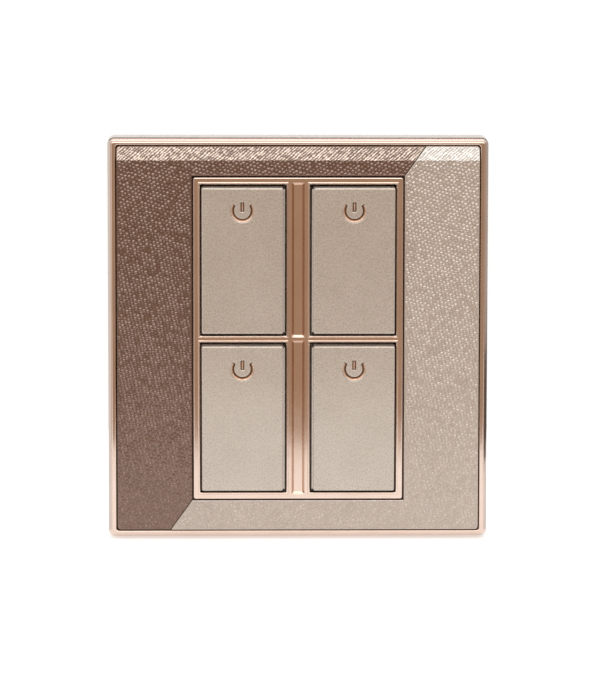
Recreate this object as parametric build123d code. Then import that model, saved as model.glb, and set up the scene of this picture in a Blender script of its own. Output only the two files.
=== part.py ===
from build123d import *
import os
from math import atan2, cos, degrees, radians, sin, tan

# A four-gang wall light switch: a plated rim, two grained cover panels, a plated grid and four rockers,
# on a base plate and a housing that holds a sprung see-saw contact for each gang.
# Every piece is drawn in the face frame: x to the right, y up and z out of the wall, which is z = 0.
# At the end the face frame is stood up, so that z points to -Y and y to +Z. Lengths are millimetres.

# Rim round the cover
face_width = 86.0
face_height = 91.2
face_corner = 1.6
rim_width = 2.0
rim_front = 8.0
rim_draft_deg = 1.5
rim_end_draft_deg = 4.5
rim_side_height = 6.0
rim_slope_width = 0.9
rim_lip_step = 0.35
rim_lip_inset = 0.1
rim_lip_rounding = 0.25
rim_inner_corner = 0.6
rim_ledge_width = 1.0
pry_notch_width = 9.0
pry_notch_height = 1.2

# Cover panels and the carrier behind them
panel_gap = 0.25
panel_corner = 0.7
brown_front = 8.3
champagne_front = 8.6
panel_edge_break = 0.2
bevel_height = 3.35
bevel_drop = 1.15
split_run = 4.8
split_gap = 0.14
carrier_front = 6.0
carrier_thickness = 1.6
carrier_fit = 0.05
hook_width = 6.0
hook_thickness = 1.2
hook_barb = 0.6
hook_spread = 24.0
hook_clearance = 0.15

# Plated grid round the rockers
window_width = 19.4
window_height = 34.05
divider_width = 5.3
crossbar_height = 1.5
bezel_border = 1.5
bezel_corner = 0.5
bezel_front = 8.9
bezel_rounding = 0.22
bezel_gap = 0.4
bezel_seat = 1.15
bead_width = 0.5
bead_height = 0.3
bead_rounding = 0.2
channel_width = 2.9
channel_overrun = 0.8
channel_depth = 0.6
channel_wall_deg = 40.0

# Rockers
rocker_side_gap = 0.6
rocker_end_gap = 0.6
rocker_outset = 0.2
rocker_front = 10.8
rocker_skirt_end = 5.0
rocker_draft_deg = 3.0
rocker_corner = 0.35
rocker_ledge_width = 0.42
rocker_ledge_drop = 0.5
rocker_ledge_depth = 2.6
rocker_rounding = 0.25
rocker_face_thickness = 1.6
rocker_wall = 1.3
rocker_tilt_deg = 2.5
pivot_height = 8.0
stub_radius = 1.1
stub_fit = 0.05
tube_radius = 2.5
tube_bore = 1.65
tube_end = 3.0

# Power mark engraved in each rocker, with its ring's centre below the rocker's top edge
mark_inset = 5.05
mark_radius = 2.65
mark_stroke = 0.8
mark_depth = 0.25
mark_arm_deg = 36.0
mark_bar_width = 0.85
mark_bar_above = 1.9
mark_bar_below = 0.25

# Plungers and springs
plunger_reach = 8.5
plunger_fit = 0.07
plunger_shoulder = 4.6
plunger_stem_radius = 0.7
plunger_stem_length = 2.0
spring_wire_radius = 0.16
spring_fit = 0.1
spring_clearance = 0.2
spring_turns = 5
spring_wire_sides = 6

# Base plate on the wall box
base_front = 3.2
base_thickness = 2.0
base_fit = 0.1
base_corner = 1.2
base_rib_width = 1.2
brace_width = 1.0
brace_depth = 0.8
brace_gap = 0.6
brace_spacing = 12.0
box_screw_spacing = 60.3
slot_length = 7.0
slot_radius = 2.1
slot_pad_gap = 0.3
slot_pad_height = 9.0
gang_opening_width = 11.6
gang_opening_height = 22.0
lug_thickness = 1.4
lug_width = 4.6
lug_skirt_gap = 0.3
lug_horn = 0.5
lug_mouth_share = 0.86

# Housing in the wall box
housing_width = 48.0
housing_height = 68.0
housing_depth = 18.0
housing_wall = 1.6
housing_floor = 2.0
housing_corner = 2.0
housing_edge_break = 0.8
housing_panel_depth = 0.5
housing_panel_border = 3.0
housing_cross_wall = 1.6
housing_lug_width = 6.4
housing_lug_height = 8.0
housing_lug_thickness = 2.0
housing_lug_y = 22.0

# See-saw contacts and terminals
blade_tilt_deg = 6.0
blade_width = 4.0
blade_length = 15.0
blade_thickness = 0.7
blade_waist_width = 3.0
blade_waist_length = 2.4
tip_gap = 0.1
contact_inset = 1.5
contact_thickness = 0.6
moving_contact_radius = 1.3
fixed_contact_radius = 1.5
contact_fit = 0.06
knife_gap = 0.05
knife_height = 1.0
knife_width = 1.6
post_width = 3.0
post_end = 6.2
prong_width = 0.8
prong_depth = 1.2
prong_gap = 0.2
prong_over_blade = 0.3
strip_width = 3.0
strip_thickness = 0.8
pad_length = 3.4
pillar_gap = 4.6
pillar_side_gap = 1.15
pillar_length = 6.25
pillar_fit = 0.1
wire_bore_radius = 1.6
wire_bore_depth = 8.0
wire_bore_inset = 3.95
wire_entry_radius = 2.3
wire_entry_flare = 0.5
stop_gap = 0.1
stop_length = 2.0

# Screws
clamp_screw_radius = 1.5
clamp_screw_head_radius = 2.3
clamp_screw_head_height = 1.4
clamp_screw_depth = 11.0
clamp_screw_clear = 0.3
clamp_access_radius = 2.7
housing_screw_radius = 1.25
housing_screw_head_radius = 2.3
housing_screw_head_height = 1.5
housing_screw_tip_clear = 0.2
screw_hole_fit = 0.05
screw_slot_width = 0.7
screw_slot_depth = 0.6

# Worked out from the sizes above
panel_width = face_width - 2 * (rim_width + panel_gap)
panel_height = face_height - 2 * (rim_width + panel_gap)
cavity_width = face_width - 2 * rim_width
cavity_height = face_height - 2 * rim_width
carrier_back = carrier_front - carrier_thickness
base_back = base_front - base_thickness
base_width = cavity_width - 2 * (rim_ledge_width + base_fit)
base_height = cavity_height - 2 * (rim_ledge_width + base_fit)
hook_reach = base_height / 2 - base_rib_width - hook_clearance - hook_thickness / 2

bezel_width = 2 * (bezel_border + window_width) + divider_width
bezel_height = 2 * (bezel_border + window_height) + crossbar_height
window_x = (divider_width + window_width) / 2
gang_x = window_x + rocker_outset
gang_y = (crossbar_height + window_height) / 2
rocker_width = window_width - 2 * rocker_side_gap
rocker_height = window_height - 2 * rocker_end_gap
rocker_inside = rocker_front - rocker_face_thickness
skirt_flare = (rocker_inside - pivot_height) * tan(radians(rocker_draft_deg))
skirt_inside = rocker_width / 2 - rocker_wall + skirt_flare
lug_outside = skirt_inside - lug_skirt_gap
lug_inside = lug_outside - lug_thickness

plunger_radius = tube_bore - plunger_fit
plunger_tip = pivot_height - plunger_reach
blade_front = plunger_tip - tip_gap
blade_back = blade_front - blade_thickness
knife_top = blade_back - knife_gap
post_foot = blade_back - post_end
floor_top = housing_floor - housing_depth
pillar_room = housing_width / 2 - housing_wall - gang_x
pillar_width = pillar_room - pillar_side_gap - pillar_gap / 2
terminal_offset = (pillar_gap + pillar_width) / 2
pillar_end = housing_height / 2 - housing_wall - pillar_fit - gang_y
pillar_start = pillar_end - pillar_length
wire_bore_y = pillar_end - wire_bore_inset
lug_centre_x = (housing_width + housing_lug_width) / 2
slot_pad_width = box_screw_spacing - housing_width - 2 * slot_pad_gap

# Depth that the edge of the tilted blade's contact reaches when it closes
contact_reach = blade_length / 2 - contact_inset
blade_sine = sin(radians(blade_tilt_deg))
blade_cosine = cos(radians(blade_tilt_deg))
contact_swing = (contact_reach + moving_contact_radius) * blade_sine + contact_thickness * blade_cosine
fixed_contact_top = blade_back - contact_swing - contact_fit
pad_top = fixed_contact_top - contact_thickness
stop_top = blade_back - blade_length / 2 * blade_sine - stop_gap

rows = {"upper": 1, "lower": -1}
sides = {"left": -1, "right": 1}


def slab(width, height, low, high, x=0.0, y=0.0, corner=0.0):
    """Plate of a width and height between two distances from the wall."""
    outline = RectangleRounded(width, height, corner) if corner else Rectangle(width, height)
    return extrude(Pos(x, y, low) * outline, high - low)


def rod(radius, low, high, x=0.0, y=0.0):
    """Round bar that points out of the wall."""
    return extrude(Pos(x, y, low) * Circle(radius), high - low)


def upright_rod(radius, start, end, x, z):
    """Round bar along y, up or down from its start."""
    return extrude(Pos(x, start, z) * Rot(-90, 0, 0) * Circle(radius), end - start)


def cross_rod(radius, low, high, z):
    """Round bar along x, on the rocker's axis."""
    return extrude(Pos(low, 0, z) * Rot(0, 90, 0) * Circle(radius), high - low)


def gangs():
    """Name, place, row and side of each gang, whose terminals are at its outer end."""
    places = []
    for row_name, row in rows.items():
        for side_name, side in sides.items():
            places.append((f"{row_name}_{side_name}", Pos(side * gang_x, row * gang_y, 0), row, side))
    return places


def tilted(piece, angle, height):
    """Piece turned about a gang's axis at a distance from the wall."""
    return Pos(0, 0, height) * Rot(angle, 0, 0) * Pos(0, 0, -height) * piece


def rim_frame():
    side_inset = rim_side_height * tan(radians(rim_draft_deg))
    end_inset = rim_side_height * tan(radians(rim_end_draft_deg))
    slope_rise = rim_front - rim_lip_step - rim_side_height
    slope_deg = degrees(atan2(rim_slope_width - side_inset, slope_rise))
    lip_inset = rim_slope_width + rim_lip_inset
    footprint = RectangleRounded(face_width, face_height, face_corner)
    foot_of_slope = Pos(0, 0, rim_side_height) * RectangleRounded(
        face_width - 2 * side_inset, face_height - 2 * end_inset, face_corner - side_inset
    )
    wall = loft(Sketch() + [footprint, foot_of_slope], ruled=True)
    slope = extrude(foot_of_slope, slope_rise, taper=slope_deg)
    opening = slab(cavity_width, cavity_height, 0, rim_front, corner=rim_inner_corner)
    lip = slab(
        face_width - 2 * lip_inset,
        face_height - 2 * (lip_inset + end_inset - side_inset),
        rim_side_height,
        rim_front,
        corner=face_corner - lip_inset,
    )
    lip -= opening
    lip = fillet(lip.faces().sort_by(Axis.Z)[-1].edges(), rim_lip_rounding)
    ledge = slab(cavity_width, cavity_height, base_front, carrier_back)
    ledge -= slab(
        cavity_width - 2 * rim_ledge_width, cavity_height - 2 * rim_ledge_width, base_front, carrier_back
    )
    notch = slab(pry_notch_width, 2 * rim_width, 0, pry_notch_height, y=-face_height / 2)
    return wall + slope - opening + lip + ledge - notch


def cover_panel(front, side):
    """L-shaped panel: side -1 covers the left and the top, side 1 the right and the bottom."""
    half_width = panel_width / 2
    half_height = panel_height / 2
    window_half_width = bezel_width / 2 + bezel_gap
    window_half_height = bezel_height / 2 + bezel_gap
    shift = side * split_gap / 2
    split_x = window_half_width + split_run
    corners = [
        (shift - split_x, -half_height),
        (shift - window_half_width, -window_half_height),
        (shift + window_half_width, window_half_height),
        (shift + split_x, half_height),
        (side * half_width, half_height),
        (side * half_width, -half_height),
    ]
    outline = make_face(Polyline(*corners, close=True))
    outline &= RectangleRounded(panel_width, panel_height, panel_corner)
    outline -= Rectangle(2 * window_half_width, 2 * window_half_height)
    panel = extrude(Pos(0, 0, carrier_front) * outline, front - carrier_front)
    panel = chamfer(panel.faces().sort_by(Axis.Z)[-1].edges(), panel_edge_break)
    return panel - top_bevel(front)


def top_bevel(front):
    """Wedge that slopes the top of a panel back towards the wall."""
    crease = panel_height / 2 - bevel_height
    reach = 2 * bevel_height
    fall = reach * bevel_drop / bevel_height
    wedge = make_face(
        Polyline((crease, front), (crease + reach, front - fall), (crease + reach, front), close=True)
    )
    return extrude(Plane.YZ * wedge, face_width / 2, both=True)


def front_carrier():
    width = cavity_width - 2 * carrier_fit
    height = cavity_height - 2 * carrier_fit
    plate = slab(width, height, carrier_back, carrier_front, corner=rim_inner_corner)
    plate -= slab(bezel_width - 2 * bezel_seat, bezel_height - 2 * bezel_seat, carrier_back, carrier_front)
    for row in rows.values():
        for side in sides.values():
            plate += Pos(side * hook_spread, row * hook_reach, 0) * Rot(0, 0, 0 if row > 0 else 180) * hook()
    return plate


def hook():
    """Snap leg with a barb that catches behind the base plate, towards the middle."""
    barb_low = base_back / 4
    leg = slab(hook_width, hook_thickness, barb_low, carrier_back)
    barb = slab(
        hook_width,
        hook_barb,
        barb_low,
        base_back - hook_clearance,
        y=-(hook_thickness + hook_barb) / 2,
    )
    return leg + barb


def centre_bezel():
    grid = slab(bezel_width, bezel_height, carrier_front, bezel_front, corner=bezel_corner)
    grid = fillet(grid.faces().sort_by(Axis.Z)[-1].edges(), bezel_rounding)
    for row in rows.values():
        for side in sides.values():
            window = slab(window_width, window_height, carrier_front, bezel_front + bead_height)
            grid += Pos(side * window_x, row * gang_y, 0) * bead()
            grid -= Pos(side * window_x, row * gang_y, 0) * window
        mouth = Pos(0, row * gang_y, bezel_front) * Rectangle(channel_width, window_height + channel_overrun)
        grid -= extrude(mouth, -channel_depth, taper=channel_wall_deg)
    return grid


def bead():
    """Raised lip round one window."""
    top = bezel_front + bead_height
    ring = slab(window_width + 2 * bead_width, window_height + 2 * bead_width, bezel_front - bead_height, top)
    ring -= slab(window_width, window_height, bezel_front - bead_height, top)
    return fillet(ring.faces().sort_by(Axis.Z)[-1].edges(), bead_rounding)


def rocker(side):
    """Rocker with a low ledge on its side towards the divider."""
    skirt_height = rocker_front - rocker_skirt_end
    face = Pos(0, 0, rocker_front) * RectangleRounded(rocker_width, rocker_height, rocker_corner)
    shell = extrude(face, -skirt_height, taper=-rocker_draft_deg)
    shell = fillet(shell.faces().sort_by(Axis.Z)[-1].edges(), rocker_rounding)
    inside = Rectangle(rocker_width - 2 * rocker_wall, rocker_height - 2 * rocker_wall)
    inside_depth = skirt_height - rocker_face_thickness
    shell -= extrude(Pos(0, 0, rocker_inside) * inside, -inside_depth, taper=-rocker_draft_deg)
    ledge_top = rocker_front - rocker_ledge_drop
    shell += slab(
        2 * rocker_ledge_width,
        rocker_height - 2 * rocker_corner,
        ledge_top - rocker_ledge_depth,
        ledge_top,
        x=-side * rocker_width / 2,
    )
    tube = rod(tube_radius, tube_end, rocker_inside) - rod(tube_bore, tube_end, rocker_inside)
    mark_seat = Pos(0, rocker_height / 2 - mark_inset, rocker_front)
    shell -= extrude(mark_seat * power_mark(), -mark_depth)
    stub_end = skirt_inside + rocker_wall / 2
    stub_tip = lug_inside - lug_skirt_gap
    stubs = cross_rod(stub_radius, stub_tip, stub_end, pivot_height)
    stubs += cross_rod(stub_radius, -stub_end, -stub_tip, pivot_height)
    return tilted(shell + tube + stubs, rocker_tilt_deg, pivot_height)


def power_mark():
    """Ring that is open at the top, with a bar in its gap."""
    reach = 2 * mark_radius
    arm_end = (reach * cos(radians(mark_arm_deg)), reach * sin(radians(mark_arm_deg)))
    gap = make_face(Polyline((0, 0), arm_end, (0, 2 * reach), (-arm_end[0], arm_end[1]), close=True))
    ring = Circle(mark_radius) - Circle(mark_radius - mark_stroke) - gap
    bar_middle = (mark_bar_above - mark_bar_below) / 2
    return ring + Pos(0, bar_middle) * Rectangle(mark_bar_width, mark_bar_above + mark_bar_below)


def plunger():
    dome_height = plunger_tip + plunger_radius
    body = rod(plunger_radius, dome_height, plunger_shoulder)
    body += Pos(0, 0, dome_height) * Sphere(plunger_radius)
    body += rod(plunger_stem_radius, plunger_shoulder, plunger_shoulder + plunger_stem_length)
    return tilted(body, rocker_tilt_deg, pivot_height)


def plunger_spring():
    low = plunger_shoulder + spring_clearance + spring_wire_radius
    high = rocker_inside - spring_clearance - spring_wire_radius
    coil_radius = tube_bore - spring_fit - spring_wire_radius
    coil = Pos(0, 0, low) * Helix((high - low) / spring_turns, high - low, coil_radius)
    section = Plane(coil @ 0, z_dir=coil % 0) * RegularPolygon(spring_wire_radius, spring_wire_sides)
    return tilted(sweep(section, path=coil), rocker_tilt_deg, pivot_height)


def contact_blade():
    strip = slab(blade_width, blade_length, blade_back, blade_front)
    notch_width = (blade_width - blade_waist_width) / 2
    for side in sides.values():
        notch_x = side * (blade_waist_width + notch_width) / 2
        strip -= slab(notch_width, blade_waist_length, blade_back, blade_front, x=notch_x)
    return tilted(strip, -blade_tilt_deg, blade_back)


def moving_contact():
    disc = rod(moving_contact_radius, blade_back - contact_thickness, blade_back, y=-contact_reach)
    return tilted(disc, -blade_tilt_deg, blade_back)


def fixed_contact():
    return rod(fixed_contact_radius, pad_top, fixed_contact_top, y=-contact_reach)


def pillar(x, top, row):
    """Clamp block with a wire bore from the back and a screw hole from its end."""
    middle = row * (pillar_start + pillar_end) / 2
    block = slab(pillar_width, pillar_length, floor_top, top, x=x, y=middle)
    block -= rod(wire_bore_radius, floor_top, floor_top + wire_bore_depth, x=x, y=row * wire_bore_y)
    hole_radius = clamp_screw_radius + screw_hole_fit
    return block - upright_rod(hole_radius, row * wire_bore_y, row * pillar_end, x, -clamp_screw_depth)


def strip_to_pillar(x, start, top, row):
    """Strip along a gang's side, from the far edge of what it feeds to its clamp block."""
    end = row * pillar_start
    return slab(strip_width, abs(end - start), top - strip_thickness, top, x=x, y=(start + end) / 2)


def common_terminal(row):
    """Knife edge with two prongs that carries the blade, and its clamp block."""
    wedge = make_face(
        Polyline(
            (-knife_width / 2, knife_top - knife_height),
            (knife_width / 2, knife_top - knife_height),
            (0, knife_top),
            close=True,
        )
    )
    piece = extrude(Plane.YZ * wedge, post_width / 2, both=True)
    piece += slab(post_width, knife_width, post_foot, knife_top - knife_height)
    prong_x = blade_waist_width / 2 + prong_gap + prong_width / 2
    for side in sides.values():
        piece += slab(prong_width, prong_depth, post_foot, blade_front + prong_over_blade, x=side * prong_x)
    foot_start = -prong_x - prong_width / 2
    foot_end = terminal_offset + strip_width / 2
    foot_middle = (foot_start + foot_end) / 2
    piece += slab(foot_end - foot_start, strip_width, post_foot - strip_thickness, post_foot, x=foot_middle)
    piece += strip_to_pillar(terminal_offset, -row * strip_width / 2, post_foot, row)
    return piece + pillar(terminal_offset, post_foot, row)


def output_terminal(row):
    """Pad under the fixed contact, and its clamp block."""
    pad_end = fixed_contact_radius + tip_gap
    pad_start = -terminal_offset - strip_width / 2
    pad_middle = (pad_start + pad_end) / 2
    pad_back = pad_top - strip_thickness
    pad = slab(pad_end - pad_start, pad_length, pad_back, pad_top, x=pad_middle, y=-contact_reach)
    piece = pad + strip_to_pillar(-terminal_offset, -contact_reach - row * pad_length / 2, pad_top, row)
    return piece + pillar(-terminal_offset, pad_top, row)


def clamp_screws(row):
    """The two clamp screws of one gang, backed out so that the wire bores are clear."""
    tip = wire_bore_y + wire_bore_radius + clamp_screw_clear
    head_end = pillar_end + clamp_screw_head_height
    screws = []
    for side in sides.values():
        x = side * terminal_offset
        screw = upright_rod(clamp_screw_radius, row * tip, row * pillar_end, x, -clamp_screw_depth)
        screw += upright_rod(clamp_screw_head_radius, row * pillar_end, row * head_end, x, -clamp_screw_depth)
        slot_size = (screw_slot_width, 2 * screw_slot_depth, 2 * clamp_screw_head_radius)
        screws.append(screw - Pos(x, row * head_end, -clamp_screw_depth) * Box(*slot_size))
    return screws


def housing_screw():
    """Screw from a housing lug into the base plate."""
    lug_back = base_back - housing_lug_thickness
    head_back = lug_back - housing_screw_head_height
    screw = rod(housing_screw_radius, lug_back, base_front - housing_screw_tip_clear)
    screw += rod(housing_screw_head_radius, head_back, lug_back)
    slot_size = (2 * housing_screw_head_radius, screw_slot_width, 2 * screw_slot_depth)
    return screw - Pos(0, 0, head_back) * Box(*slot_size)


def housing_screw_seats():
    """Places of the housing's four screws."""
    return [
        Pos(side * lug_centre_x, row * housing_lug_y, 0) for side in sides.values() for row in rows.values()
    ]


def rocker_bearing():
    """Pair of lugs whose open mouths hold a rocker's stubs."""
    top = pivot_height + lug_horn
    middle = (lug_inside + lug_outside) / 2
    bore_radius = stub_radius + stub_fit
    mouth_width = 2 * stub_radius * lug_mouth_share
    pair = Part()
    for side in sides.values():
        pair += slab(lug_thickness, lug_width, base_front, top, x=side * middle)
    pair -= cross_rod(bore_radius, -lug_outside, lug_outside, pivot_height)
    return pair - slab(2 * lug_outside, mouth_width, pivot_height, top)


def base_plate():
    plate = slab(base_width, base_height, base_back, base_front, corner=base_corner)
    rib = slab(base_width, base_height, 0, base_back, corner=base_corner)
    rib -= slab(base_width - 2 * base_rib_width, base_height - 2 * base_rib_width, 0, base_back)
    plate += rib
    for side in sides.values():
        slot_x = side * box_screw_spacing / 2
        plate += slab(slot_pad_width, slot_pad_height, 0, base_back, x=slot_x)
        slot = Pos(slot_x, 0, 0) * SlotOverall(slot_length, 2 * slot_radius)
        plate -= extrude(slot, base_front)
        for row in rows.values():
            hook_hole = slab(
                hook_width + 2 * hook_clearance,
                hook_thickness + 2 * hook_clearance,
                base_back,
                base_front,
                x=side * hook_spread,
                y=row * hook_reach,
            )
            plate -= hook_hole
    plate += base_braces()
    for _, seat, _, _ in gangs():
        plate -= seat * slab(gang_opening_width, gang_opening_height, base_back, base_front)
        plate += seat * rocker_bearing()
    for seat in housing_screw_seats():
        plate -= seat * rod(housing_screw_radius + screw_hole_fit, base_back, base_front)
    return plate


def base_braces():
    """Low ribs behind the base plate, from its edge towards the housing."""
    low = base_back - brace_depth
    side_start = housing_width / 2 + brace_gap
    end_start = housing_height / 2 + brace_gap
    side_length = base_width / 2 - base_rib_width - side_start
    end_length = base_height / 2 - base_rib_width - end_start
    braces = Part()
    for sign in (-1, 1):
        side_x = sign * (side_start + side_length / 2)
        end_y = sign * (end_start + end_length / 2)
        for y in (-1.5 * housing_lug_y, -housing_lug_y / 2, housing_lug_y / 2, 1.5 * housing_lug_y):
            braces += slab(side_length, brace_width, low, base_back, x=side_x, y=y)
        for x in (-brace_spacing, 0, brace_spacing):
            braces += slab(brace_width, end_length, low, base_back, x=x, y=end_y)
    return braces


def contact_towers():
    """Posts on the housing's floor that carry one gang's terminals and stop its blade."""
    towers = slab(blade_width, pad_length, floor_top, pad_top - strip_thickness, y=-contact_reach)
    towers += slab(post_width, strip_width, floor_top, post_foot - strip_thickness)
    stop_y = blade_length / 2 - stop_length / 2
    return towers + slab(blade_width, stop_length, floor_top, stop_top, y=stop_y)


def wire_entry(x, y):
    """Hole in the housing's floor for one wire, flared at the back."""
    flare = extrude(
        Pos(x, y, -housing_depth) * Circle(wire_entry_radius + wire_entry_flare), wire_entry_flare, taper=45
    )
    return flare + rod(wire_entry_radius, -housing_depth, floor_top, x=x, y=y)


def rear_housing():
    body = slab(housing_width, housing_height, -housing_depth, base_back, corner=housing_corner)
    body = chamfer(body.faces().sort_by(Axis.Z)[0].edges(), housing_edge_break)
    chamber_width = housing_width / 2 - housing_wall - housing_cross_wall / 2
    chamber_height = housing_height / 2 - housing_wall - housing_cross_wall / 2
    chamber_x = (housing_cross_wall + chamber_width) / 2
    chamber_y = (housing_cross_wall + chamber_height) / 2
    for side in sides.values():
        for row in rows.values():
            chamber = slab(chamber_width, chamber_height, floor_top, base_back)
            body -= Pos(side * chamber_x, row * chamber_y, 0) * chamber
    body -= slab(
        housing_width - 2 * housing_panel_border,
        2 * (gang_y + wire_bore_y - wire_entry_radius - wire_entry_flare - housing_panel_border),
        -housing_depth,
        housing_panel_depth - housing_depth,
        corner=housing_corner,
    )
    wall_outside = pillar_end + pillar_fit + housing_wall
    for _, seat, row, _ in gangs():
        body += seat * contact_towers()
        for side in sides.values():
            x = side * terminal_offset
            body -= seat * wire_entry(x, row * wire_bore_y)
            access_start = row * pillar_end
            access_end = row * wall_outside
            body -= seat * upright_rod(clamp_access_radius, access_start, access_end, x, -clamp_screw_depth)
    lug_back = base_back - housing_lug_thickness
    for seat in housing_screw_seats():
        body += seat * slab(housing_lug_width, housing_lug_height, lug_back, base_back)
        body -= seat * rod(housing_screw_radius + screw_hole_fit, lug_back, base_back)
    return body


def gang_pieces(row, side):
    """Pieces that each gang has one of, about the gang's centre."""
    return {
        "rocker": rocker(side),
        "plunger": plunger(),
        "plunger_spring": plunger_spring(),
        "contact_blade": contact_blade(),
        "moving_contact": moving_contact(),
        "fixed_contact": fixed_contact(),
        "common_terminal": common_terminal(row),
        "output_terminal": output_terminal(row),
    }


def all_pieces():
    pieces = {
        "rim_frame": rim_frame(),
        "brown_panel": cover_panel(brown_front, -1),
        "champagne_panel": cover_panel(champagne_front, 1),
        "front_carrier": front_carrier(),
        "centre_bezel": centre_bezel(),
        "base_plate": base_plate(),
        "rear_housing": rear_housing(),
    }
    screws = []
    for gang_name, seat, row, side in gangs():
        for piece_name, piece in gang_pieces(row, side).items():
            pieces[f"{piece_name}_{gang_name}"] = seat * piece
        screws += [seat * screw for screw in clamp_screws(row)]
    pieces["terminal_screws"] = Compound(children=screws)
    pieces["housing_screws"] = Compound(children=[seat * housing_screw() for seat in housing_screw_seats()])
    return pieces


os.makedirs("parts", exist_ok=True)
for node_name, piece in all_pieces().items():
    export_step(Plane.XZ.location * piece, f"parts/{node_name}.step")
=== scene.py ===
import bpy
import bmesh
import math
import numpy as np
from mathutils import Matrix, Vector


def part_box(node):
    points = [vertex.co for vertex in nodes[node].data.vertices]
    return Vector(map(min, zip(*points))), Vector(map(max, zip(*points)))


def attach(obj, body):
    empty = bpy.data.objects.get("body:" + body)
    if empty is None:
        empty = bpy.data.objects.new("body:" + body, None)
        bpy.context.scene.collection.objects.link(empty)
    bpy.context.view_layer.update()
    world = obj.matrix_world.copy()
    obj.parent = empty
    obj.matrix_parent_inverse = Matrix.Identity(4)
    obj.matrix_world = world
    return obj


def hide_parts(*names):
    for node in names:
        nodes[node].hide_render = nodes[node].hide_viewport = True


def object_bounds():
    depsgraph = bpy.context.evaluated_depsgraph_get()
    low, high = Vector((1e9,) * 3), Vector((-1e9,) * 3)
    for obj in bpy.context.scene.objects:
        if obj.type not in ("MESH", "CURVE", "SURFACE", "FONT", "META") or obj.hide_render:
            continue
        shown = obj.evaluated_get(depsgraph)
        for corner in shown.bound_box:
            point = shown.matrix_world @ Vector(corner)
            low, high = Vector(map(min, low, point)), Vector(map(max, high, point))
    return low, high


# A four-gang wall light switch: finishes, grained cover panels, copper power marks, studio and camera.
# The frame has X to the right, Z up and the face towards -Y. Lengths of the part are millimetres, which MM
# makes metres. Places and sizes of the studio and the camera are metres.
MM = 0.001
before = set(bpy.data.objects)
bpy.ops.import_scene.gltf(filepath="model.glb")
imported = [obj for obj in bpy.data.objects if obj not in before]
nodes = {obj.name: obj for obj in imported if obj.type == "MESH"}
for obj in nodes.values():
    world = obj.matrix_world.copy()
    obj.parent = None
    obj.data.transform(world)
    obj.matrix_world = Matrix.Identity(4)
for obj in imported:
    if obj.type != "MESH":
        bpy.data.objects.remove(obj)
cad_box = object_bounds()
scene = bpy.context.scene
gang_names = ["upper_left", "upper_right", "lower_left", "lower_right"]


def new_piece(name, data):
    """Object in the scene with a mesh, a lamp or a camera as its data."""
    piece = bpy.data.objects.new(name, data)
    scene.collection.objects.link(piece)
    return piece


# Nodes of the materials

shader_name = "Principled BSDF"
edge_samples = 8

# A mix node has two inputs and a result for each type of data, at these places
mix_sockets = {"VECTOR": (4, 5, 1), "RGBA": (6, 7, 2)}


def srgb(red, green, blue):
    """Colour of a screen value from 0 to 255, as the shaders take it."""
    values = []
    for screen in (red, green, blue):
        share = screen / 255
        values.append(share / 12.92 if share <= 0.04045 else ((share + 0.055) / 1.055) ** 2.4)
    return (*values, 1.0)


def add(tree, kind, inputs=None, **settings):
    """New node: an input that is a socket is linked, any other value is set."""
    node = tree.nodes.new(kind)
    for key, value in settings.items():
        setattr(node, key, value)
    for key, value in (inputs or {}).items():
        if isinstance(value, bpy.types.NodeSocket):
            tree.links.new(value, node.inputs[key])
        else:
            node.inputs[key].default_value = value
    return node


def new_material(name, sockets):
    """Material with a principled shader whose even values are set on its own sockets."""
    made = bpy.data.materials.new(name)
    made.use_nodes = True
    tree = made.node_tree
    for key, value in sockets.items():
        tree.nodes[shader_name].inputs[key].default_value = value
    place = add(tree, "ShaderNodeTexCoord").outputs["Object"]
    return made, tree, place


def surface(made, values):
    """Material whose shader also takes the values that vary over its surface."""
    tree = made.node_tree
    for key, value in values.items():
        tree.links.new(value, tree.nodes[shader_name].inputs[key])
    return made


def attribute(tree, name):
    """Value that the mesh has at each of its points."""
    return add(tree, "ShaderNodeAttribute", attribute_name=name).outputs["Fac"]


def noise(tree, place, size, detail, stretch=None):
    """Noise from 0 to 1 with features of a size in millimetres, drawn out where stretch is given."""
    if stretch:
        place = add(tree, "ShaderNodeMapping", {"Vector": place, "Scale": stretch}).outputs["Vector"]
    inputs = {"Vector": place, "Scale": 1 / (size * MM), "Detail": detail}
    return add(tree, "ShaderNodeTexNoise", inputs).outputs["Fac"]


def flakes(tree, place, size):
    """Number from 0 to 1 that belongs to one metal flake of a size in millimetres."""
    cells = add(tree, "ShaderNodeTexVoronoi", {"Vector": place, "Scale": 1 / (size * MM)})
    return add(tree, "ShaderNodeSeparateColor", {"Color": cells.outputs["Color"]}).outputs["Red"]


def maths(tree, operation, *values):
    """Result of an operation on values, which may be sockets or numbers."""
    return add(tree, "ShaderNodeMath", dict(enumerate(values)), operation=operation).outputs["Value"]


def grey(tree, value):
    """Colour with one value in all three channels."""
    channels = {"Red": value, "Green": value, "Blue": value}
    return add(tree, "ShaderNodeCombineColor", channels).outputs["Color"]


def ramp(tree, value, stops):
    """Colour ramp through (place, colour) stops."""
    node = add(tree, "ShaderNodeValToRGB", {"Fac": value})
    elements = node.color_ramp.elements
    while len(elements) < len(stops):
        elements.new(1.0)
    for element, (place, colour) in zip(elements, stops):
        element.position = place
        element.color = colour
    return node.outputs["Color"]


def two_tones(tree, value, low, high):
    """Colour that goes from low to high over the middle of a noise."""
    return ramp(tree, value, [(0.3, low), (0.7, high)])


def between(tree, value, low, high):
    """Value from 0 to 1 spread over a range."""
    return add(tree, "ShaderNodeMapRange", {"Value": value, "To Min": low, "To Max": high}).outputs["Result"]


def mix(tree, amount, first, second, data_type="RGBA", mode="MIX"):
    """Two colours or vectors mixed by an amount, which may be a socket or a number."""
    first_place, second_place, result_place = mix_sockets[data_type]
    inputs = {0: amount, first_place: first, second_place: second}
    return add(tree, "ShaderNodeMix", inputs, data_type=data_type, blend_type=mode).outputs[result_place]


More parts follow.
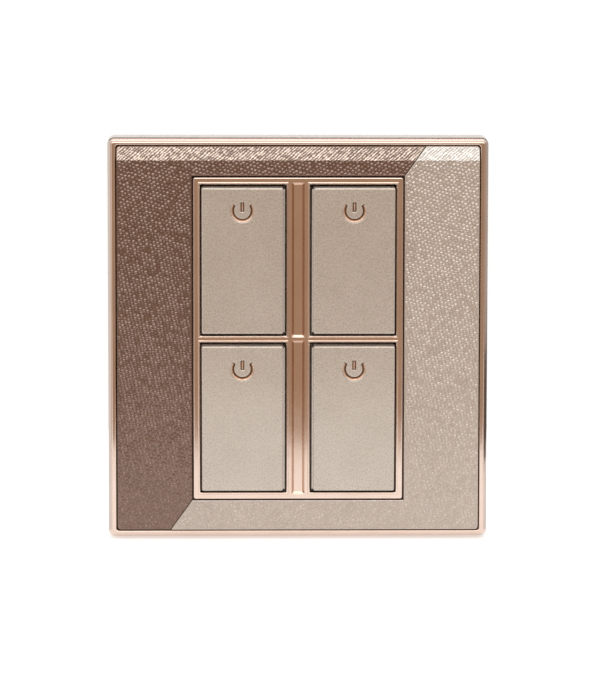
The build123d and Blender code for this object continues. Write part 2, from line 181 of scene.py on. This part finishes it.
def bump(tree, height, depth, strength, under=None):
    """Normal of a fine relief whose depth is in millimetres, on top of another one if given."""
    inputs = {"Height": height, "Distance": depth * MM, "Strength": strength}
    if under:
        inputs["Normal"] = under
    return add(tree, "ShaderNodeBump", inputs).outputs["Normal"]


def rounded_normal(tree, radius):
    """Normal of a surface whose edges are rounded by a radius in millimetres."""
    return add(tree, "ShaderNodeBevel", {"Radius": radius * MM}, samples=edge_samples).outputs["Normal"]


# Materials, with the rim's lip as heights out of the wall, and the radii of softened edges

lip_front = 7.5
lip_foot = 7.1
rim_rounding = 1.5
rocker_rounding = 0.45


def outer_edge_normal(tree, place, radius):
    """Normal rounded by a radius in millimetres along the rim's outer edge, but not at its lip."""
    depth = add(tree, "ShaderNodeSeparateXYZ", {"Vector": place}).outputs["Y"]
    limits = {"Value": depth, "From Min": -lip_front * MM, "From Max": -lip_foot * MM}
    below_lip = add(tree, "ShaderNodeMapRange", limits).outputs["Result"]
    sharp = add(tree, "ShaderNodeNewGeometry").outputs["Normal"]
    return mix(tree, below_lip, sharp, rounded_normal(tree, radius), data_type="VECTOR")


def plating(name, gloss, rounding=0.0):
    """Rose-gold plating on moulded plastic: slightly wavy, with faint haze."""
    made, tree, place = new_material(name, {"Metallic": 1.0})
    haze = noise(tree, place, size=9.0, detail=3.0)
    wipe = noise(tree, place, size=2.4, detail=2.0, stretch=(1.0, 1.0, 0.3))
    edges = outer_edge_normal(tree, place, rounding) if rounding else None
    waves = bump(tree, noise(tree, place, size=4.0, detail=1.0), depth=0.02, strength=0.2, under=edges)
    grit = noise(tree, place, size=0.12, detail=2.0)
    return surface(made, {
        "Base Color": two_tones(tree, haze, srgb(218, 195, 180), srgb(224, 202, 188)),
        "Roughness": between(tree, wipe, low=gloss, high=gloss + 0.08),
        "Normal": bump(tree, grit, depth=0.004, strength=0.25, under=waves),
    })


def grained_film(name, panel_tones_with_painted_light, bevel_tones_with_painted_light, metal, coat_index):
    """Film with metal flakes, painted shade in its grain's valleys and painted highlights on tops and bevel.
    """
    made, tree, place = new_material(name, {
        "Metallic": metal,
        "Specular IOR Level": 0.5,
        "Coat IOR": coat_index,
        "Coat Roughness": 0.1,
    })
    height = attribute(tree, "grain")
    on_bevel = attribute(tree, "on_bevel")
    # Painted shade in valleys and bevel grooves; painted highlights on tops, ridges and the whole bevel
    # strip
    shaded_valley, body, top = panel_tones_with_painted_light
    pebbles = ramp(tree, height, [(0.0, shaded_valley), (0.35, body), (0.75, body), (1.0, top)])
    groove, slope, lit_ridge = bevel_tones_with_painted_light
    shaded_strokes = ramp(tree, height, [(0.3, groove), (0.6, slope), (0.9, lit_ridge)])
    tone = mix(tree, on_bevel, pebbles, shaded_strokes)
    patches = between(tree, noise(tree, place, size=9.0, detail=3.0), low=0.92, high=1.08)
    flake_tone = between(tree, flakes(tree, place, size=0.13), low=0.85, high=1.15)
    shade = grey(tree, maths(tree, "MULTIPLY", patches, flake_tone))
    wipe = noise(tree, place, size=0.35, detail=2.0)
    grit = noise(tree, place, size=0.16, detail=3.0)
    return surface(made, {
        "Base Color": mix(tree, 1.0, tone, shade, mode="MULTIPLY"),
        "Roughness": between(tree, wipe, low=0.24, high=0.34),
        "Coat Weight": between(tree, on_bevel, low=1.0, high=0.5),
        "Normal": bump(tree, grit, depth=0.03, strength=0.5),
    })


def rocker_paint():
    """Matt metallic champagne paint: fine flakes over a faint orange peel, and softened edges."""
    made, tree, place = new_material("champagne_matt", {
        "Metallic": 0.4,
        "Specular IOR Level": 0.5,
        "Coat Weight": 0.6,
        "Coat IOR": 1.5,
        "Coat Roughness": 0.12,
    })
    cloud = noise(tree, place, size=7.0, detail=3.0)
    tone = two_tones(tree, cloud, srgb(188, 176, 163), srgb(194, 182, 170))
    sparkle = flakes(tree, place, size=0.16)
    flake_tone = grey(tree, between(tree, sparkle, low=0.94, high=1.06))
    edges = rounded_normal(tree, rocker_rounding)
    peel = bump(tree, noise(tree, place, size=0.5, detail=2.0), depth=0.02, strength=0.2, under=edges)
    grit = noise(tree, place, size=0.14, detail=2.0)
    return surface(made, {
        "Base Color": mix(tree, 1.0, tone, flake_tone, mode="MULTIPLY"),
        "Roughness": between(tree, sparkle, low=0.24, high=0.34),
        "Normal": bump(tree, grit, depth=0.01, strength=0.3, under=peel),
    })


def moulded(name, low, high, roughness, relief):
    """Moulded plastic: faint flow marks in its tone and a spark-eroded surface."""
    made, tree, place = new_material(name, {"Specular IOR Level": 0.45})
    flow = noise(tree, place, size=6.0, detail=4.0, stretch=(1.0, 0.6, 0.35))
    grit = noise(tree, place, size=0.22, detail=3.0)
    return surface(made, {
        "Base Color": two_tones(tree, flow, low, high),
        "Roughness": between(tree, grit, low=roughness - 0.06, high=roughness + 0.08),
        "Normal": bump(tree, grit, depth=relief, strength=0.4),
    })


def worked_metal(name, low, high, roughness, stretch):
    """Stamped or drawn metal: rolling marks along one direction and a slight tarnish."""
    made, tree, place = new_material(name, {"Metallic": 1.0})
    tarnish = noise(tree, place, size=2.2, detail=4.0)
    lines = noise(tree, place, size=0.12, detail=2.0, stretch=stretch)
    return surface(made, {
        "Base Color": two_tones(tree, tarnish, low, high),
        "Roughness": between(tree, lines, low=roughness - 0.08, high=roughness + 0.12),
        "Normal": bump(tree, lines, depth=0.01, strength=0.35),
    })


def copper_with_painted_light():
    """Copper in the marks: painted shade along each stroke's deep edges, a painted highlight where it rises.
    """
    made, tree, place = new_material("mark_copper", {"Metallic": 0.6})
    spots = maths(tree, "SUBTRACT", noise(tree, place, size=0.4, detail=3.0), 0.5)
    spotted_painted_light = maths(tree, "MULTIPLY_ADD", spots, 0.5, attribute(tree, "painted_light"))
    # Painted shade where the light value is low, at deep edges and stroke ends; painted highlight where high
    tone = ramp(tree, spotted_painted_light, [
        (0.1, srgb(44, 24, 10)),
        (0.4, srgb(122, 80, 50)),
        (0.7, srgb(188, 144, 112)),
        (0.95, srgb(226, 204, 186)),
    ])
    grit = noise(tree, place, size=0.15, detail=2.0)
    return surface(made, {
        "Base Color": tone,
        "Roughness": between(tree, grit, low=0.28, high=0.46),
        "Normal": bump(tree, grit, depth=0.01, strength=0.3),
    })


finishes = {
    "rose_gold_plating": plating("rose_gold_plating", gloss=0.09),
    "rim_plating": plating("rim_plating", gloss=0.05, rounding=rim_rounding),
    # Film tones: darker valleys and grooves are painted shade, lighter tops and bevels painted highlights
    "brown_grain": grained_film(
        "brown_grain",
        panel_tones_with_painted_light=(srgb(105, 78, 64), srgb(113, 84, 69), srgb(129, 96, 75)),
        bevel_tones_with_painted_light=(srgb(70, 46, 31), srgb(153, 134, 119), srgb(189, 171, 156)),
        metal=0.7,
        coat_index=1.6,
    ),
    "champagne_grain": grained_film(
        "champagne_grain",
        panel_tones_with_painted_light=(srgb(179, 164, 152), srgb(185, 171, 158), srgb(203, 191, 179)),
        bevel_tones_with_painted_light=(srgb(158, 147, 136), srgb(206, 199, 191), srgb(222, 218, 213)),
        metal=0.36,
        coat_index=1.5,
    ),
    "champagne_matt": rocker_paint(),
    "white_plastic": moulded(
        "white_plastic", srgb(226, 226, 221), srgb(236, 236, 232), roughness=0.46, relief=0.02
    ),
    # Painted reflection: the carrier is warm brown, not its dark grey, for rose-gold light bounced into the
    # gaps
    "grey_plastic": moulded(
        "grey_plastic", srgb(118, 90, 76), srgb(128, 99, 84), roughness=0.5, relief=0.03
    ),
    "acetal": moulded(
        "acetal", srgb(232, 232, 227), srgb(242, 242, 238), roughness=0.36, relief=0.01
    ),
    "spring_steel": worked_metal(
        "spring_steel", srgb(168, 168, 170), srgb(196, 196, 198), roughness=0.3, stretch=(0.2, 1.0, 1.0)
    ),
    "zinc_steel": worked_metal(
        "zinc_steel", srgb(188, 190, 192), srgb(214, 215, 214), roughness=0.34, stretch=(1.0, 1.0, 0.2)
    ),
    "copper": worked_metal(
        "copper", srgb(176, 116, 80), srgb(200, 140, 102), roughness=0.32, stretch=(1.0, 1.0, 0.15)
    ),
    "mark_copper": copper_with_painted_light(),
    "brass": worked_metal(
        "brass", srgb(196, 160, 88), srgb(222, 190, 116), roughness=0.32, stretch=(1.0, 1.0, 0.15)
    ),
    "silver": worked_metal(
        "silver", srgb(200, 200, 198), srgb(224, 224, 221), roughness=0.28, stretch=(1.0, 0.3, 1.0)
    ),
}

finish_of_node = {
    "rim_frame": "rim_plating",
    "centre_bezel": "rose_gold_plating",
    "front_carrier": "grey_plastic",
    "base_plate": "white_plastic",
    "rear_housing": "white_plastic",
    "terminal_screws": "zinc_steel",
    "housing_screws": "zinc_steel",
    "rocker": "champagne_matt",
    "plunger": "acetal",
    "plunger_spring": "spring_steel",
    "contact_blade": "copper",
    "moving_contact": "silver",
    "fixed_contact": "silver",
    "common_terminal": "brass",
    "output_terminal": "brass",
}


def dress(piece, finish):
    """Gives a piece its one finish, in place of the materials it had."""
    piece.data.materials.clear()
    piece.data.materials.append(finishes[finish])


for node_name, node in nodes.items():
    kind = node_name
    for gang_name in gang_names:
        kind = kind.removesuffix("_" + gang_name)
    if kind in finish_of_node:
        dress(node, finish_of_node[kind])


# Grained cover panels

bezel_gap = 0.4
panel_half_width = -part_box("brown_panel")[0].x / MM
panel_half_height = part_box("brown_panel")[1].z / MM
window_half_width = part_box("centre_bezel")[1].x / MM + bezel_gap
window_half_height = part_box("centre_bezel")[1].z / MM + bezel_gap
strip_height = panel_half_height - window_half_height
brown_front = 8.3
champagne_front = 8.6
carrier_front = 6.0
bevel_height = 3.35
bevel_drop = 1.15
crease = panel_half_height - bevel_height
split_run = 4.8
split_gap = 0.14
panel_corner = 0.7
edge_break = 0.08
cell = 0.145
far_off = 99.0
tiny = 1e-9

# Pebbles of the grain: their rows, their sizes as shares of pitch and length, and how far they stray
grain_angle = math.radians(41.5)
grain_pitch = 0.77
grain_length = 0.87
half_width_share = 0.21
half_length_share = 0.19
size_spread = 0.04
row_stray = 0.2
across_stray = 0.14
along_stray = 0.24
least_height = 0.25
grain_height = 0.146
grain_crest = 1.5
grain_margin = 0.3
grain_mean = 0.55
bevel_crest = 2.6
bevel_stretch = 1.35
bevel_fineness = 1.4
neighbours = range(-2, 3)

# Each kind of number that a pebble has is scattered by its own salt
row_salt, across_salt, along_salt, length_salt, width_salt, height_salt = range(1, 7)
row_key = 12.9898
column_key = 78.233
salt_key = 37.719
scatter = 43758.5453


def pebble_number(row, column, salt):
    """Number from 0 to 1 that belongs to one pebble, or to one row at column 0."""
    mixed = np.sin(row * row_key + column * column_key + salt * salt_key) * scatter
    return mixed - np.floor(mixed)


def wave(along, across, height, rate, sway, sway_rate):
    """Slow wave in one direction whose phase sways in the other."""
    return height * np.sin(rate * along + sway * np.sin(sway_rate * across))


def grain(x, z, crest, stretch):
    """Relief from 0 to 1: pebbles in diagonal rows, each with its own place, size and height."""
    wander = (
        wave(x, z, height=0.07, rate=1.1, sway=2.3, sway_rate=0.7)
        + wave(z, x, height=0.06, rate=1.7, sway=1.9, sway_rate=0.9)
    )
    along = x * math.cos(grain_angle) + z * math.sin(grain_angle) + wander
    across = z * math.cos(grain_angle) - x * math.sin(grain_angle) + wander
    near_row = np.round(across / grain_pitch)
    relief = np.zeros_like(x)
    for row_step in neighbours:
        row = near_row + row_step
        shift = 0.5 * np.mod(row, 2) + row_stray * (pebble_number(row, 0, row_salt) - 0.5)
        near_column = np.round(along / grain_length - shift)
        for column_step in neighbours:
            column = near_column + column_step
            off_row = across_stray * (pebble_number(row, column, across_salt) - 0.5)
            off_column = along_stray * (pebble_number(row, column, along_salt) - 0.5)
            centre_across = (row + off_row) * grain_pitch
            centre_along = (column + shift + off_column) * grain_length
            length_share = half_length_share + size_spread * pebble_number(row, column, length_salt)
            width_share = half_width_share + size_spread * pebble_number(row, column, width_salt)
            half_length = grain_length * length_share * stretch
            half_width = grain_pitch * width_share
            off = ((along - centre_along) / half_length) ** 2 + ((across - centre_across) / half_width) ** 2
            height = least_height + (1 - least_height) * pebble_number(row, column, height_salt)
            relief += height * np.exp(-off / 2)
    return np.tanh(crest * relief)


def spread(*stops):
    """Lines about one cell apart, with a line at every stop."""
    lines = [np.array([stops[0]])]
    for low, high in zip(stops, stops[1:]):
        lines.append(np.linspace(low, high, max(2, round((high - low) / cell)) + 1)[1:])
    return np.concatenate(lines)


def split_line(z):
    """Place of the joint between the panels in the strips above and below the grid."""
    run = (np.abs(z) - window_half_height) * split_run / strip_height
    return np.sign(z) * (window_half_width + run)


def panel_net():
    """Flat points and faces of the left and top panel: a run down the left and a strip along the top."""
    heights = spread(
        -panel_half_height, -crease, -window_half_height, window_half_height, crease, panel_half_height
    )
    beyond = heights < -window_half_height
    inner_edge = np.where(beyond, split_line(heights) - split_gap / 2, -window_half_width)
    shares = spread(-panel_half_width, -window_half_width) + panel_half_width
    shares = shares / shares[-1]
    long_x = -panel_half_width + shares[None, :] * (inner_edge + panel_half_width)[:, None]
    long_z = np.repeat(heights[:, None], len(shares), 1)
    top = heights[heights >= window_half_height - tiny]
    strip = spread(-window_half_width, window_half_width)
    strip = (strip + window_half_width) / (2 * window_half_width)
    top_end = split_line(top) - split_gap / 2
    short_x = -window_half_width + strip[None, :] * (top_end + window_half_width)[:, None]
    short_z = np.repeat(top[:, None], len(strip), 1)

    # Both share the column of points where they meet
    rows, columns = long_x.shape
    long_number = np.arange(rows * columns).reshape(rows, columns)
    short_number = np.empty(short_x.shape, int)
    short_number[:, 0] = long_number[rows - len(top):, -1]
    extra = short_x[:, 1:].size
    short_number[:, 1:] = rows * columns + np.arange(extra).reshape(len(top), -1)
    x = np.concatenate([long_x.ravel(), short_x[:, 1:].ravel()])
    z = np.concatenate([long_z.ravel(), short_z[:, 1:].ravel()])
    faces = []
    for number in (long_number, short_number):
        quads = np.stack([number[:-1, :-1], number[:-1, 1:], number[1:, 1:], number[1:, :-1]], -1)
        faces.append(quads.reshape(-1, 4))
    return x, z, np.concatenate(faces)


def edge_distance(x, z):
    """Distance from points of the left and top panel to its nearest straight edge."""
    slant = math.hypot(split_run, strip_height) / strip_height
    in_strip = np.abs(z) > window_half_height
    joint = np.where(in_strip, (split_line(z) - split_gap / 2 - x) / slant, far_off)
    outer = np.minimum(x + panel_half_width, panel_half_height - np.abs(z))
    window = np.maximum(-window_half_width - x, z - window_half_height)
    window = np.where(z < -window_half_height, far_off, window)
    return np.clip(np.minimum(np.minimum(joint, outer), window), 0, None)


def rounded_corners(x, z, edge):
    """Points and edge distances with the outer corners pulled in to their radius."""
    over_x = -(x + panel_half_width - panel_corner)
    over_z = np.abs(z) - panel_half_height + panel_corner
    reach = np.hypot(over_x, over_z)
    in_corner = (over_x > 0) & (over_z > 0)
    edge = np.where(in_corner, np.clip(panel_corner - reach, 0, None), edge)
    pull = np.where(in_corner & (reach > panel_corner), panel_corner / np.maximum(reach, tiny), 1.0)
    x = np.where(pull < 1, -panel_half_width + panel_corner - over_x * pull, x)
    z = np.where(pull < 1, np.sign(z) * (panel_half_height - panel_corner + over_z * pull), z)
    return x, z, edge


def add_walls(mesh):
    """Walls from a panel's edge down to the carrier, with a crisp edge above them."""
    made = bmesh.new()
    made.from_mesh(mesh)
    rim = [each for each in made.edges if each.is_boundary]
    wall = bmesh.ops.extrude_edge_only(made, edges=rim)["geom"]
    for each in wall:
        if isinstance(each, bmesh.types.BMVert):
            each.co.y = -carrier_front * MM
    bmesh.ops.recalc_face_normals(made, faces=made.faces)
    for each in made.faces:
        each.smooth = True
    for each in rim:
        each.smooth = False
    made.to_mesh(mesh)
    made.free()


def panel(name, front, side):
    """Cover panel: side -1 covers the left and the top, side 1 the right and the bottom."""
    x, z, faces = panel_net()
    x, z, edge = rounded_corners(x, z, edge_distance(x, z))
    if side > 0:
        x, z = -x, -z
    on_bevel = z > crease
    crest = np.where(on_bevel, bevel_crest, grain_crest)
    stretch = np.where(on_bevel, bevel_stretch, 1.0)
    fineness = np.where(on_bevel, bevel_fineness, 1.0)
    fade = np.clip((edge - edge_break) / grain_margin, 0, 1)
    relief = grain_mean + (grain(x * fineness, z * fineness, crest, stretch) - grain_mean) * fade
    out = front - np.clip(z - crease, 0, None) * bevel_drop / bevel_height
    out = out - np.clip(edge_break - edge, 0, None) + (relief - 1) * grain_height / fineness
    points = np.stack([x, -out, z], -1) * MM
    mesh = bpy.data.meshes.new(name)
    mesh.from_pydata(points.tolist(), [], faces.tolist())
    for key, values in (("grain", relief), ("on_bevel", on_bevel)):
        layer = mesh.attributes.new(key, "FLOAT", "POINT")
        layer.data.foreach_set("value", values.astype(np.float32))
    add_walls(mesh)
    return new_piece(name, mesh)


for panel_name, finish, front, side in (
    ("brown_panel", "brown_grain", brown_front, -1),
    ("champagne_panel", "champagne_grain", champagne_front, 1),
):
    grained = panel("grained_" + panel_name, front, side)
    dress(grained, finish)
    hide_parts(panel_name)
    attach(grained, "base")


# Copper in the engraved power marks

gang_x = 12.55
gang_z = 17.775
rocker_half_height = 16.425
rocker_front = 10.8
rocker_tilt = math.radians(2.5)
pivot_height = 8.0
mark_inset = 5.05
mark_radius = 2.65
mark_stroke = 0.8
mark_depth = 0.25
mark_arm = math.radians(36)
mark_bar_width = 0.85
mark_bar_above = 1.9
mark_bar_below = 0.25
mark_fit = 0.03
mark_floor = 0.03
mark_rise = 0.16
ring_points = 49
bar_points = 13
bar_peak = 0.9

# Places across a stroke, as shares of its half width
profile = [-1.0, -0.96, -0.8, -0.4, 0.0, 0.4, 0.8, 0.96, 1.0]

# Ends of a stroke: length and narrowing as shares of its half width, the share of the painted light that
# is left at the tip, so that the tip gets painted shade, and the end lengths in which all of it comes back
end_length = 0.25
end_narrowing = 0.25
end_light = 0.2
end_light_fade = 3.0


def ring_light_and_rise(share):
    """The ring's stroke sinks along its inner edge, with painted shade, and rises along its outer one, with
    a painted highlight.
    """
    return (1 - share) / 2


def bar_light_and_rise(share):
    """The bar's stroke sinks along both edges, with painted shade, and rises in its middle, with a painted
    highlight.
    """
    return bar_peak * (1 - abs(share))


def ribbon(made, line, half_width, light_and_rise_at, to_place):
    """Low strip along a line, with rounded ends, sunk in its groove."""
    painted_light = made.verts.layers.float["painted_light"]
    line = [Vector(point) for point in line]
    length = sum((after - before).length for before, after in zip(line, line[1:]))
    travelled = 0.0
    rows = []
    for number, point in enumerate(line):
        before = line[max(number - 1, 0)]
        after = line[min(number + 1, len(line) - 1)]
        if number:
            travelled += (point - before).length
        direction = (after - before).normalized()
        sideways = Vector((-direction.y, direction.x))
        from_end = min(travelled, length - travelled) / (end_length * half_width)
        width = half_width * (1 - end_narrowing * max(0.0, 1 - from_end) ** 2)
        row = []
        for share in profile:
            rise = mark_floor + mark_rise * light_and_rise_at(share) ** 2 if abs(share) < 1 else 0.0
            flat = point + sideways * share * width
            corner = made.verts.new(to_place(flat.x, flat.y, rise))
            # Painted light: shade along the deep edges and at the ends, a highlight where the stroke rises
            corner[painted_light] = light_and_rise_at(share) * min(1.0, end_light + from_end / end_light_fade)
            row.append(corner)
        rows.append(row)
    for first, second in zip(rows, rows[1:]):
        for column in range(len(profile) - 1):
            made.faces.new((first[column], first[column + 1], second[column + 1], second[column]))
    made.faces.new(rows[0])
    made.faces.new(rows[-1])


def power_mark(gang_name):
    """Open ring and bar on the floor of one rocker's engraving."""
    side = -1 if "left" in gang_name else 1
    row = 1 if "upper" in gang_name else -1

    def to_place(x, y, rise):
        """Point of the mark on the tilted rocker, from its place in the mark and its rise from the floor."""
        up = rocker_half_height - mark_inset + y
        out = rocker_front - mark_depth + rise - pivot_height
        turned_up = up * math.cos(rocker_tilt) - out * math.sin(rocker_tilt)
        turned_out = up * math.sin(rocker_tilt) + out * math.cos(rocker_tilt) + pivot_height
        return Vector((side * gang_x + x, -turned_out, row * gang_z + turned_up)) * MM

    made = bmesh.new()
    made.verts.layers.float.new("painted_light")
    middle = mark_radius - mark_stroke / 2
    half_stroke = mark_stroke / 2 - mark_fit
    trim = mark_fit / middle
    sweep = np.linspace(math.pi - mark_arm + trim, 2 * math.pi + mark_arm - trim, ring_points)
    ring = [(middle * math.cos(angle), middle * math.sin(angle)) for angle in sweep]
    ribbon(made, ring, half_stroke, ring_light_and_rise, to_place)
    bar = [(0.0, y) for y in np.linspace(mark_bar_above - mark_fit, mark_fit - mark_bar_below, bar_points)]
    ribbon(made, bar, mark_bar_width / 2 - mark_fit, bar_light_and_rise, to_place)
    bmesh.ops.recalc_face_normals(made, faces=made.faces)
    for face in made.faces:
        face.smooth = True
    mesh = bpy.data.meshes.new("power_mark_" + gang_name)
    made.to_mesh(mesh)
    made.free()
    return new_piece("power_mark_" + gang_name, mesh)


for gang_name in gang_names:
    mark = power_mark(gang_name)
    dress(mark, "mark_copper")
    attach(mark, "rocker_" + gang_name)


# Studio: softboxes high and low in front, above and behind, with a white floor, a tan wall and cards

white = (1, 1, 1, 1)
floor_tone = (0.85, 0.85, 0.85, 1)
floor_glow = 0.43
rear_floor_glow = 0.08
floor_clearance = 0.0002
floor_level = cad_box[0].z - floor_clearance
ambient_light = 0.45
studio_centre = Vector((0, 0, 0))


def shows_background(tree):
    """1 for rays that see the background itself: from the camera, a gloss or a clear body."""
    path = add(tree, "ShaderNodeLightPath").outputs
    seen = maths(tree, "MAXIMUM", path["Is Camera Ray"], path["Is Glossy Ray"])
    return maths(tree, "MAXIMUM", seen, path["Is Transmission Ray"])


def floor_nodes(tree, glow):
    """Matt floor that keeps shadows, with its own glow for glossy rays and the same glow for the camera."""
    matt = add(tree, "ShaderNodeBsdfDiffuse", {"Color": floor_tone})
    to_camera = add(tree, "ShaderNodeLightPath").outputs["Is Camera Ray"]
    rest_of_glow = maths(tree, "MULTIPLY", to_camera, floor_glow - glow)
    strength = maths(tree, "MULTIPLY_ADD", shows_background(tree), glow, rest_of_glow)
    lift = add(tree, "ShaderNodeEmission", {"Color": white, "Strength": strength})
    both = add(tree, "ShaderNodeAddShader", {0: matt.outputs[0], 1: lift.outputs[0]})
    add(tree, "ShaderNodeOutputMaterial", {"Surface": both.outputs[0]})


def card_nodes(tree, colour):
    """Evenly lit card."""
    glow = add(tree, "ShaderNodeEmission", {"Color": colour, "Strength": 1.0})
    add(tree, "ShaderNodeOutputMaterial", {"Surface": glow.outputs[0]})


def floor_part(left, right, front, rear):
    """Corners of a part of the floor."""
    return [(x, y, floor_level) for x, y in ((left, front), (right, front), (right, rear), (left, rear))]


def cross_wall(y, half_width, low, high):
    """Corners of an upright card that faces the front or the rear."""
    return [(-half_width, y, low), (half_width, y, low), (half_width, y, high), (-half_width, y, high)]


def side_wall(x, front, rear, low, high):
    """Corners of an upright card at one side."""
    return [(x, front, low), (x, rear, low), (x, rear, high), (x, front, high)]


def stage_plane(name, corners, nodes_of, tone):
    """Flat stage piece through four corners, with a material whose nodes take one tone."""
    mesh = bpy.data.meshes.new(name)
    mesh.from_pydata(corners, [], [(0, 1, 2, 3)])
    piece = new_piece(name, mesh)
    made = bpy.data.materials.new(name)
    made.use_nodes = True
    made.node_tree.nodes.clear()
    nodes_of(made.node_tree, tone)
    mesh.materials.append(made)
    return piece


for name, corners, glow in (
    ("floor", floor_part(left=-0.5, right=0.5, front=-0.18, rear=0.0), floor_glow),
    ("floor_behind", floor_part(left=-0.21, right=0.14, front=0.0, rear=0.2), rear_floor_glow),
):
    stage_plane(name, corners, floor_nodes, glow)
for name, corners, colour in (
    ("room_wall", cross_wall(y=-1.3, half_width=1.6, low=-0.8, high=0.24), (0.47, 0.325, 0.22, 1)),
    ("back_card", cross_wall(y=1.7, half_width=1.2, low=0.1, high=0.43), (0.95, 0.93, 0.92, 1)),
    ("dark_card", cross_wall(y=1.7, half_width=1.2, low=0.43, high=1.6), (0.08, 0.07, 0.06, 1)),
    ("left_card", side_wall(x=-0.9, front=-1.2, rear=1.6, low=-0.5, high=0.5), (0.85, 0.84, 0.82, 1)),
    ("right_card", side_wall(x=0.9, front=-1.2, rear=1.6, low=-0.12, high=0.5), (0.5, 0.46, 0.43, 1)),
    ("low_card", side_wall(x=0.9, front=-1.2, rear=1.6, low=-0.5, high=-0.12), (0.1, 0.09, 0.08, 1)),
):
    card = stage_plane(name, corners, card_nodes, colour)
    card.visible_camera = False

world = bpy.data.worlds.new("studio")
scene.world = world
world.use_nodes = True
world_tree = world.node_tree
world_tree.nodes.clear()
ambient = add(world_tree, "ShaderNodeBackground", {"Color": white, "Strength": ambient_light})
backdrop = add(world_tree, "ShaderNodeBackground", {"Color": white, "Strength": 1.0})
either = add(world_tree, "ShaderNodeMixShader", {
    0: shows_background(world_tree),
    1: ambient.outputs[0],
    2: backdrop.outputs[0],
})
add(world_tree, "ShaderNodeOutputWorld", {"Surface": either.outputs[0]})


def softbox(name, place, width, height, power):
    """Soft rectangular lamp that is turned to the part."""
    data = bpy.data.lights.new(name, "AREA")
    data.shape = "RECTANGLE"
    data.size = width
    data.size_y = height
    data.energy = power
    lamp = new_piece(name, data)
    lamp.location = place
    lamp.rotation_euler = (studio_centre - Vector(place)).to_track_quat("-Z", "Y").to_euler()


softbox("key_softbox", place=(0.0, -2.0, 1.48), width=3.1, height=0.744, power=22.8)
softbox("low_softbox", place=(0.0, -2.0, 0.708), width=2.8, height=0.634, power=7.6)
softbox("top_softbox", place=(0.0, -0.10, 0.90), width=1.0, height=0.6, power=3.0)
softbox("rear_softbox", place=(0.0, 0.58, 0.84), width=1.0, height=0.4, power=0.7)


# Camera, fitted to the photograph: the target shows at the target pixel

photo_width = 609
photo_height = 684
target_pixel_x = 298.089
target_pixel_y = 338.645
focal_pixels = 3257.1
distance = 0.7341
elevation = math.radians(5.311)
azimuth = math.radians(-1.1156)
roll = math.radians(0.0825)
target = Vector((0, -0.008, 0))
back = Vector((
    math.sin(azimuth) * math.cos(elevation),
    -math.cos(azimuth) * math.cos(elevation),
    math.sin(elevation),
))
centre_right = (photo_width / 2 - target_pixel_x) / focal_pixels
centre_down = (photo_height / 2 - target_pixel_y) / focal_pixels


def camera_axes(ahead):
    """Right and up of a camera that looks ahead, with its roll."""
    right = ahead.cross(Vector((0, 0, 1))).normalized()
    up = right.cross(ahead)
    return right * math.cos(roll) + up * math.sin(roll), up * math.cos(roll) - right * math.sin(roll)


right, up = camera_axes(-back)
ahead = (right * centre_right - up * centre_down - back).normalized()
right, up = camera_axes(ahead)
camera_data = bpy.data.cameras.new("photo_camera")
camera_data.sensor_width = 36.0
camera_data.lens = focal_pixels * camera_data.sensor_width / photo_height
camera = new_piece("photo_camera", camera_data)
facing = Matrix((right, up, -ahead)).transposed().to_4x4()
camera.matrix_world = Matrix.Translation(target + back * distance) @ facing
scene.camera = camera
scene.view_settings.view_transform = "Standard"
